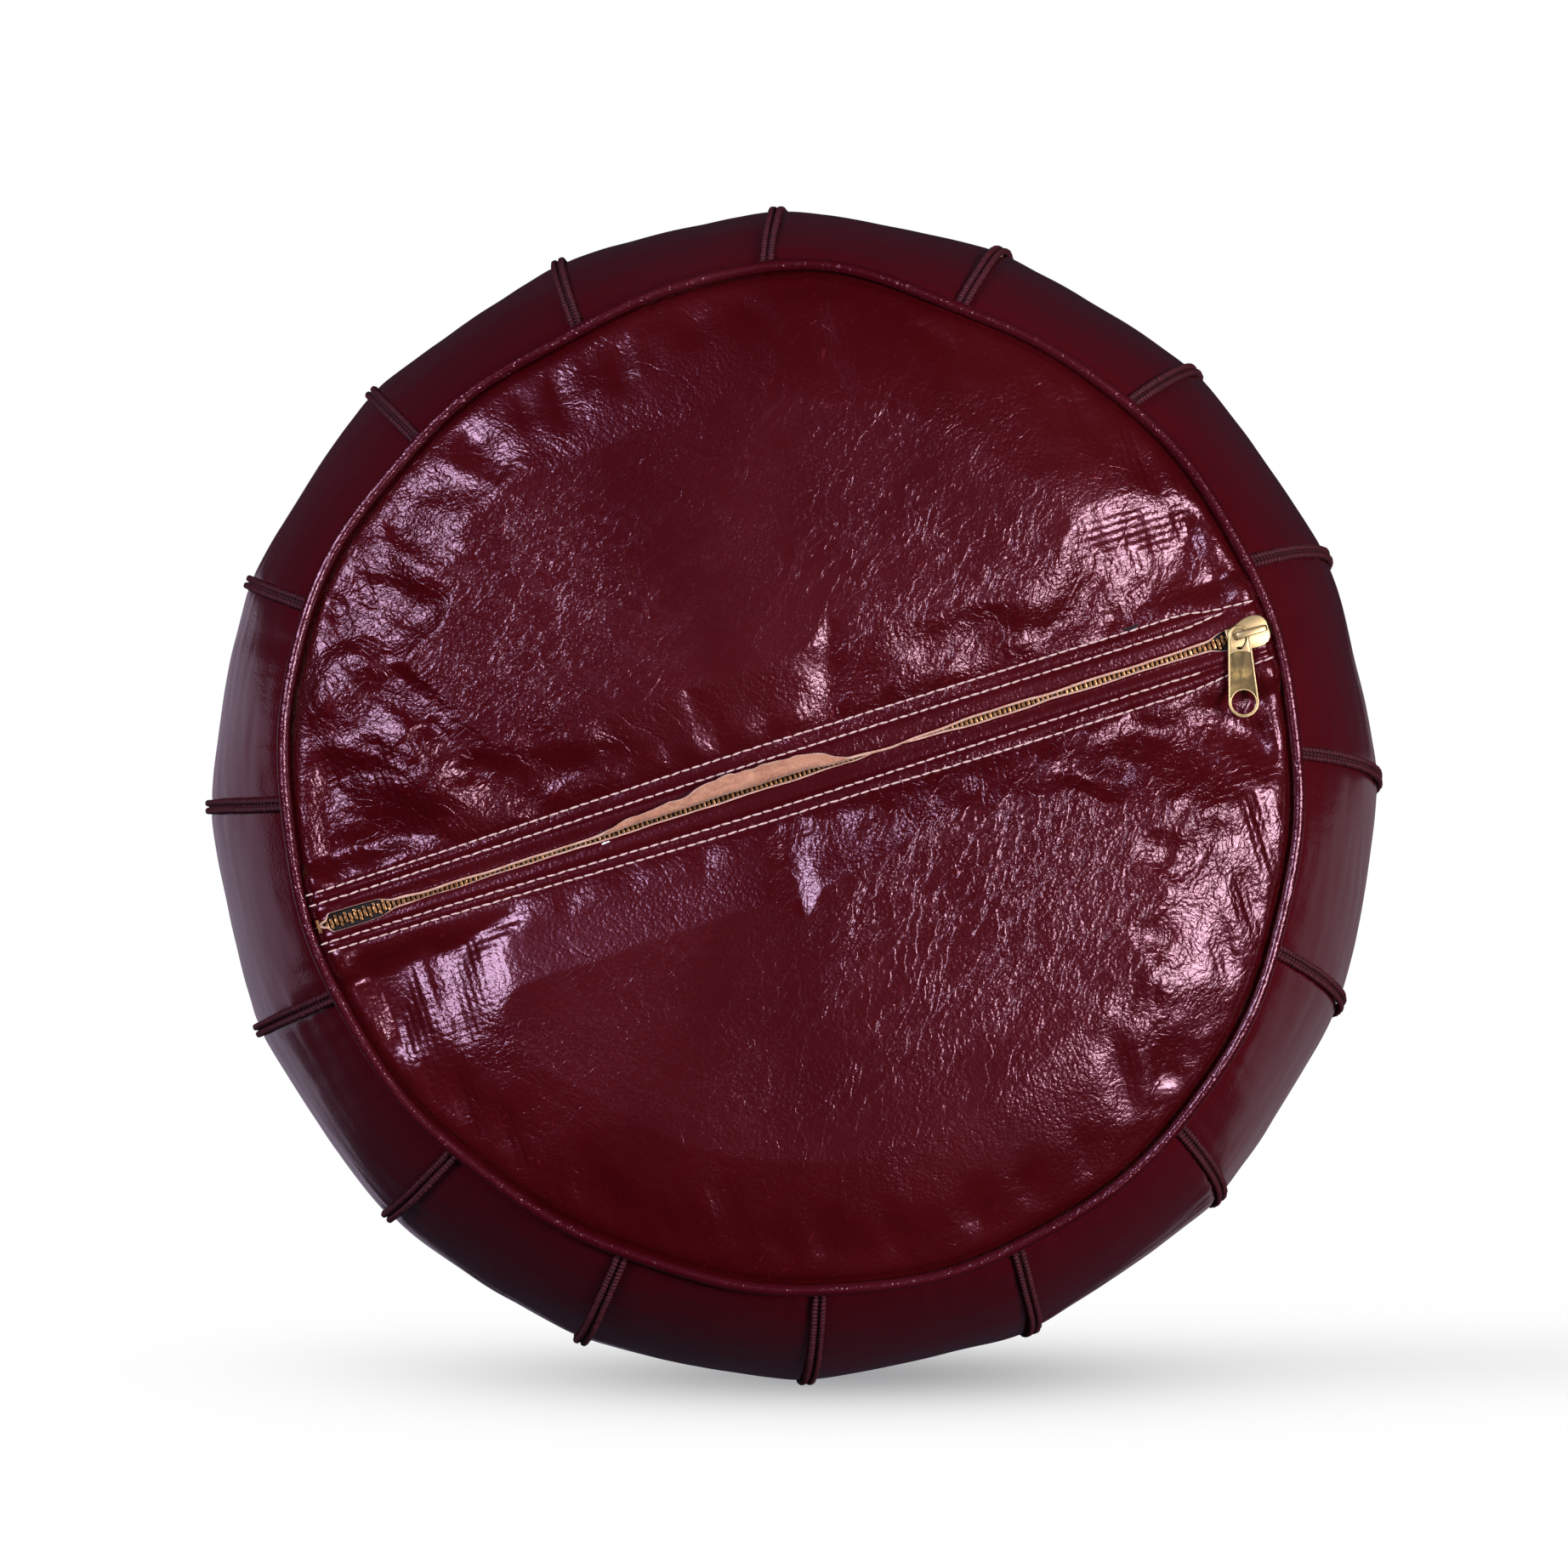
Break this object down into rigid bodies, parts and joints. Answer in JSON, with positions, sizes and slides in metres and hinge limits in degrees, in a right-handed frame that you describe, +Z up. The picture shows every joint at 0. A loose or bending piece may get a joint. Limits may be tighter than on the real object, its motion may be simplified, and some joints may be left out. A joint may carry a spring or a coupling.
{
  "type": "leather pouf",
  "caption": "Round stuffed leather floor pouf with panelled sides, silk braid over the seams, a wedge-cut top and a zipped flat base.",
  "frame": {"origin": "centre of the base, on the surface that the pouf stands on", "axes": "+Z up along the pouf's axis; +X along the zip towards its closed end, where the slider rests; -Y to the front"},
  "size_m": [0.5022, 0.5022, 0.3017],
  "materials": {
    "side_leather": "gloss",
    "top_leather": "gloss",
    "base_leather": "gloss",
    "silk_braid": "satin",
    "zip_tape": "matte",
    "zip_brass": "satin",
    "slider_brass": "satin",
    "cream_thread": "satin",
    "white_cotton": "matte",
    "wadding": "matte"
  },
  "bodies": {
    "root": {"side_panel_01": "side_leather", "side_panel_02": "side_leather", "side_panel_03": "side_leather", "side_panel_04": "side_leather", "side_panel_05": "side_leather", "side_panel_06": "side_leather", "side_panel_07": "side_leather", "side_panel_08": "side_leather", "side_panel_09": "side_leather", "side_panel_10": "side_leather", "side_panel_11": "side_leather", "side_panel_12": "side_leather", "side_panel_13": "side_leather", "side_panel_14": "side_leather", "side_panel_15": "side_leather", "side_panel_16": "side_leather", "top_wedge_01": "top_leather", "top_wedge_02": "top_leather", "top_wedge_03": "top_leather", "top_wedge_04": "top_leather", "top_wedge_05": "top_leather", "top_wedge_06": "top_leather", "top_wedge_07": "top_leather", "top_wedge_08": "top_leather", "top_wedge_09": "top_leather", "top_wedge_10": "top_leather", "top_wedge_11": "top_leather", "top_wedge_12": "top_leather", "top_wedge_13": "top_leather", "top_wedge_14": "top_leather", "top_wedge_15": "top_leather", "top_wedge_16": "top_leather", "side_seam_braids": "silk_braid", "top_seam_braids": "silk_braid", "top_edge_braid": "silk_braid", "top_patch": "top_leather", "bottom_piping": "base_leather", "bottom_panel_front": "base_leather", "bottom_panel_back": "base_leather", "zip_tape_front": "zip_tape", "zip_tape_back": "zip_tape", "zip_teeth_front": "zip_brass", "zip_teeth_back": "zip_brass", "zip_top_stops": "zip_brass", "zip_bottom_stop": "zip_brass", "zip_stitching": "cream_thread", "inner_bag": "white_cotton", "stuffing": "wadding"},
    "slider": {"slider_body": "slider_brass", "slider_bail": "slider_brass"},
    "pull": {"zip_pull": "slider_brass"}
  },
  "joints": [
    {"name": "zip_run", "type": "slide", "parent": "root", "child": "slider", "axis": [-1, 0, 0], "range_m": [0, 0.378]},
    {"name": "pull_swing", "type": "hinge", "parent": "slider", "child": "pull", "pos_m": [0.189, 0, 0.0045], "axis": [0, 0, 1], "range_deg": [-60, 210]}
  ]
}
